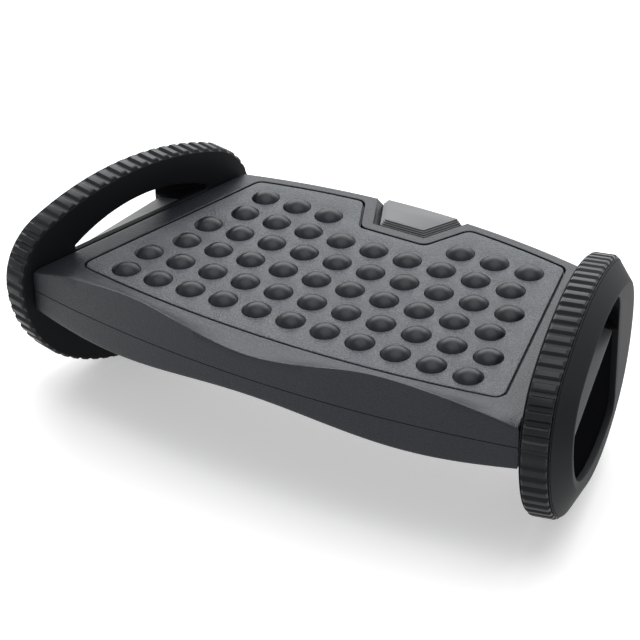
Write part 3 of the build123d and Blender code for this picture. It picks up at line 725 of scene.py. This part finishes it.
def handle_floor():
    """Closed face in the opening and the handle's floor, as sections at stations along the wheel.

    A section follows the face from the opening's lower wall to a sloping edge, turns round it on a curve
    drawn towards the corner, and runs straight to the handle hole's lower edge or to the upper wall.
    """
    loop = opening_loop(-0.2)
    tip = np.argmin(loop[:, 0])
    upper, lower = loop[60:tip + 1][::-1], np.vstack([loop[tip:], loop[:30]])
    share = (1 - np.cos(np.linspace(0, np.pi, 90))) / 2
    u = loop[tip, 0] + 0.03 + share * (loop[:, 0].max() - loop[tip, 0] - 0.06)
    low = np.interp(u, *lower.T)
    high = np.minimum(np.interp(u, *upper.T), handle_chord)
    edge = well_edge + well_slope * u
    fall = (well_face - web_face) / (handle_chord - edge)
    corner = np.clip(edge, low + 0.3, high - 0.3)
    reach = well_round / np.sqrt(1 + fall**2)
    before = np.maximum(corner - well_round, 0.5 * (low + corner))
    after = np.minimum(corner + reach, 0.5 * (high + corner))
    turn = np.array((0.0, 0.2, 0.4, 0.6, 0.8, 1.0))[:, None]
    bend = (1 - turn)**2, 2 * turn * (1 - turn), turn**2

    def level(v):
        return well_face - np.maximum(v - edge, 0) * fall

    bent_v = bend[0] * before + bend[1] * corner + bend[2] * after
    bent_w = bend[0] * level(before) + bend[1] * level(corner) + bend[2] * level(after)
    v = np.vstack([low, low, bent_v, high, high])
    w = np.vstack([np.full_like(u, web_face + 0.03), level(low), bent_w, np.maximum(level(high), web_face + 0.06),
                   np.full_like(u, web_face + 0.03)])
    return np.stack([np.broadcast_to(u, v.shape), v, w], axis=-1).swapaxes(0, 1)


def tunnel_loop(loop):
    """Opening's wall at the web: drawn out to the handle hole's top arc where that reaches further."""
    arc = handle_loop(0.3)[60:] - opening_middle
    angle = np.arctan2(arc[:, 1], arc[:, 0])
    order = np.argsort(angle)
    reach = np.interp(corner_angles, angle[order], np.linalg.norm(arc, axis=1)[order], left=0, right=0)
    out = loop - opening_middle
    distance = np.linalg.norm(out, axis=1)
    return opening_middle + out * (np.maximum(distance, reach) / distance)[:, None]


# Painted shade: the sunk face gets an almost lightless matt black, darker than the wheel's own plastic, so that it
# shows as a deep shadowed hollow.
painted_shade_black, shade, shader = finish("matt_black_sunk_face_painted_shade", Specular_IOR_Level=0.0)
fine = shade.noise(1000.0, 3.0, 0.6)
surface(shade, shader, fine.tint((0.003, 0.0031, 0.0035, 1), (0.006, 0.0062, 0.007, 1)), 0.8 + 0.15 * fine,
        fine, 0.00008, 0.4)
# Painted light: the handle's floor gets a satin grey far lighter than the wheel's black plastic, standing in for the
# light that falls on it inside the opening.
painted_light_grey, shade, shader = finish("satin_handle_floor_painted_light", Specular_IOR_Level=0.4)
fine = shade.noise(1000.0, 3.0, 0.6)
surface(shade, shader, fine.tint((0.075, 0.078, 0.082, 1), (0.1, 0.103, 0.108, 1)), 0.4 + 0.12 * fine,
        fine, 0.00006, 0.35)


def paint_opening_light_and_shade(piece, side):
    """Paints light and shade into the opening: the sunk face a matt near-black as painted shade, the handle's floor a
    lighter satin grey as painted light.

    Of the faces whose middle lies in the opening below the handle hole's lower edge, the sunk face looks
    straight out and the floor looks up and out at once.
    """
    mesh = piece.data
    middle, normal = np.empty((2, len(mesh.polygons) * 3))
    mesh.polygons.foreach_get("center", middle)
    mesh.polygons.foreach_get("normal", normal)
    x, y, z = middle.reshape(-1, 3).T * 1000
    out_x, out_y, up = normal.reshape(-1, 3).T
    w = (side * x - platform_reach) * np.cos(toe) + y * np.sin(toe)
    u = y * np.cos(toe) - (side * x - platform_reach) * np.sin(toe)
    outward = side * out_x * np.cos(toe) + out_y * np.sin(toe)
    within = (u > -opening_oval[0] - 0.2) & (u < opening_rear + 0.2) & (z < hub_height + handle_chord)
    within &= (w > web_face + 0.1) & (w < well_face + 0.01)
    sunk = within & (outward > 0.999)
    sloped = within & (outward > 0.2) & (up > 0.3) & ~sunk
    for material in (painted_shade_black, painted_light_grey):
        mesh.materials.append(material)
    mesh.polygons.foreach_set("material_index", np.where(sunk, 1, np.where(sloped, 2, 0)).astype(np.int32))


bevel_foot, bevel_crest = ray_loop(wheel_loop(1.0)), ray_loop(cover_loop(0))
brim = ray_loop(opening_loop(-crease))
well = ray_loop(opening_loop(0))
cover_rows = [at_height(ray_loop(wheel_loop(rim_inset + 0.05)), web_face + 0.05),
              at_height(ray_loop(wheel_loop(rim_inset + 0.05)), rim_face + 0.05),
              at_height(ray_loop(wheel_loop(1.4)), rim_face + 0.05), at_height(bevel_foot, rim_face + 0.35)]
for share in (0.04, 0.2, 0.4, 0.6, 0.8, 0.94):
    cover_rows.append(at_height((1 - share) * bevel_foot + share * bevel_crest,
                                rim_face + 0.35 + share * (cover_face - rim_face - 0.35)))
cover_rows += [at_height(0.985 * bevel_crest + 0.015 * bevel_foot, cover_face - 0.22),
               at_height(ray_loop(cover_loop(0.35)), cover_face - 0.04)]
for share in (0.06, 0.2, 0.4, 0.6, 0.8, 1.0):
    cover_rows.append(at_height((1 - share) * ray_loop(cover_loop(0.35)) + share * brim, cover_face))
for turn in np.radians((30, 60, 90)):
    cover_rows.append(at_height(ray_loop(opening_loop(-crease * (1 - np.sin(turn)))),
                                cover_face - crease * (1 - np.cos(turn))))
for share in (0.25, 0.5, 0.75, 1.0):
    cover_rows.append(at_height((1 - share) * well + share * tunnel_loop(well),
                                (1 - share) * (cover_face - crease) + share * (web_face + 0.05)))
for side, end in ((1, "right"), (-1, "left")):
    cover = Skin()
    cover.grid(at_wheel(cover_rows, side), closed=True)
    sections = at_wheel(handle_floor(), side)
    cover.grid(sections)
    cover.lid(sections[0])
    cover.lid(sections[-1][::-1])
    ring = cover.piece(f"{end}_cover_moulding", wheel_black, "wheel", f"{end}_wheel", f"{end}_wheel_cover",
                       corner=24.0)
    paint_opening_light_and_shade(ring, side)

# Tyres: black rubber bands stretched into the rims' seats, moulded with cross ribs that are rounded off
# at both shoulders. One rib stands at the very bottom and carries the footrest.
tyre_low, tyre_high = 3.4, 21.5
rib_count, crest_stand, rib_depth, shoulder = 60, 2.0, 2.2, 2.4

tyre_rubber, shade, shader = finish("tyre_rubber", Specular_IOR_Level=0.2, Specular_Tint=(0.9, 0.94, 1, 1))
fine = shade.noise(900.0, 4.0, 0.65)
dust = shade.noise(60.0, 4.0, 0.65)
speckle = (0.5 * fine + 0.5 * dust).step(0.3, 0.75)
surface(shade, shader, speckle.tint((0.006, 0.0062, 0.007, 1), (0.013, 0.0134, 0.0145, 1)),
        0.26 + 0.12 * dust, fine, 0.0001, 0.4)


def tyre_rows():
    """Ribbed band: the crest outline, sampled by its own length, sunk by the deeper of rib and shoulder.

    Each rib has a flat crest, two sloping flanks and a flat groove; the shoulders are quarter ellipses.
    """
    crest = wheel_loop(-crest_stand)
    crest = np.vstack([crest[210:], crest[:211]])
    length = np.concatenate([[0], np.cumsum(np.linalg.norm(np.diff(crest, axis=0), axis=1))])
    phase = np.array((-0.5, -0.4, -0.365, -0.335, -0.235, -0.205, -0.17, 0, 0.17, 0.205, 0.235, 0.335, 0.365, 0.4))
    depth = np.array((1, 1, 0.98, 0.88, 0.12, 0.02, 0, 0, 0, 0.02, 0.12, 0.88, 0.98, 1)) * rib_depth
    place = ((np.arange(rib_count)[:, None] + phase) / rib_count).ravel() % 1 * length[-1]
    sunk = np.tile(depth, rib_count)
    line = np.column_stack([np.interp(place, length, crest[:, k]) for k in (0, 1)])
    step = 0.4
    ahead = np.column_stack([np.interp((place + step) % length[-1], length, crest[:, k]) for k in (0, 1)])
    back = np.column_stack([np.interp((place - step) % length[-1], length, crest[:, k]) for k in (0, 1)])
    along = ahead - back
    outward = np.column_stack([along[:, 1], -along[:, 0]]) / np.linalg.norm(along, axis=1)[:, None]
    turn = np.radians((0, 15, 30, 45, 60, 75, 90))
    low_w = tyre_low + shoulder * (1 - np.cos(turn))
    low_drop = shoulder * (1 - np.sin(turn))
    across = np.concatenate([[tyre_low], low_w, (tyre_high + tyre_low - low_w)[::-1], [tyre_high]])
    edge_drop = np.concatenate([[seat_drop + crest_stand - 0.05], low_drop, low_drop[::-1],
                                [seat_drop + crest_stand - 0.05]])
    drop = np.maximum(edge_drop[:, None], sunk[None, :])
    points = line[None] - drop[..., None] * outward[None]
    return np.concatenate([points, np.broadcast_to(across[:, None, None], drop.shape + (1,))], axis=-1)


band = tyre_rows()
for side, end in ((1, "right"), (-1, "left")):
    tyre = Skin()
    tyre.grid(at_wheel(band, side), closed=True)
    tyre.piece(f"{end}_tyre_band", tyre_rubber, "tyre", f"{end}_wheel", f"{end}_tyre", corner=28.0)

# Floor, light and camera: a plain white studio floor, one large soft light from behind on the left that
# sheens the deck, a weaker one from above, and an even white surround.
floor_mesh = bpy.data.meshes.new("studio_floor")
floor_mesh.from_pydata([(-6, -6, -0.0002), (6, -6, -0.0002), (6, 6, -0.0002), (-6, 6, -0.0002)], [], [(0, 1, 2, 3)])
floor = bpy.data.objects.new("studio_floor", floor_mesh)
bpy.context.scene.collection.objects.link(floor)
floor_white, shade, shader = finish("studio_white", Specular_IOR_Level=0.0, Roughness=1.0)
paper = shade.noise(3.0).tint((0.89, 0.89, 0.89, 1), (0.91, 0.91, 0.91, 1))
shade.tree.links.new(paper.socket, shader.inputs["Base Color"])
glow = shade.seen().tint((0, 0, 0, 1), (0.42, 0.42, 0.42, 1))
shade.tree.links.new(glow.socket, shader.inputs["Emission Color"])
shader.inputs["Emission Strength"].default_value = 1.0
floor_mesh.materials.append(floor_white)


def softbox(name, place, aim, width, height, watts):
    """Rectangular area light at a place, turned to face a point."""
    lamp = bpy.data.lights.new(name, "AREA")
    lamp.shape, lamp.size, lamp.size_y, lamp.energy = "RECTANGLE", width, height, watts
    box = bpy.data.objects.new(name, lamp)
    box.location = place
    box.rotation_euler = (Vector(aim) - Vector(place)).to_track_quat("-Z", "Y").to_euler()
    bpy.context.scene.collection.objects.link(box)


softbox("back_left_softbox", (-1.3, 2.7, 1.95), (0, 0, 0.1), 4.4, 2.3, 95)
softbox("top_softbox", (0.1, 0.2, 2.6), (0, 0, 0.1), 2.4, 2.4, 45)

world = bpy.data.worlds.new("white_surround")
world.use_nodes = True
sky = Shade(world.node_tree)
backdrop = world.node_tree.nodes["Background"]
backdrop.inputs["Color"].default_value = (1, 1, 1, 1)
strength = 0.35 + 0.65 * sky.seen()
world.node_tree.links.new(strength.socket, backdrop.inputs["Strength"])
bpy.context.scene.world = world

camera = bpy.data.cameras.new("photo_camera")
camera.sensor_width, camera.lens = 36.0, 130.17
camera.clip_start, camera.clip_end = 0.05, 50.0
eye = bpy.data.objects.new("photo_camera", camera)
right = (0.8471838, 0.53098888, -0.0181776)
up = (-0.26438828, 0.45100975, 0.85246058)
back = (0.46084536, -0.71738485, 0.52247539)
place = (0.7531, -1.19836, 0.9459)
eye.matrix_world = Matrix([(right[k], up[k], back[k], place[k]) for k in range(3)] + [(0, 0, 0, 1)])
bpy.context.scene.collection.objects.link(eye)
bpy.context.scene.camera = eye
bpy.context.scene.view_settings.view_transform = "Standard"
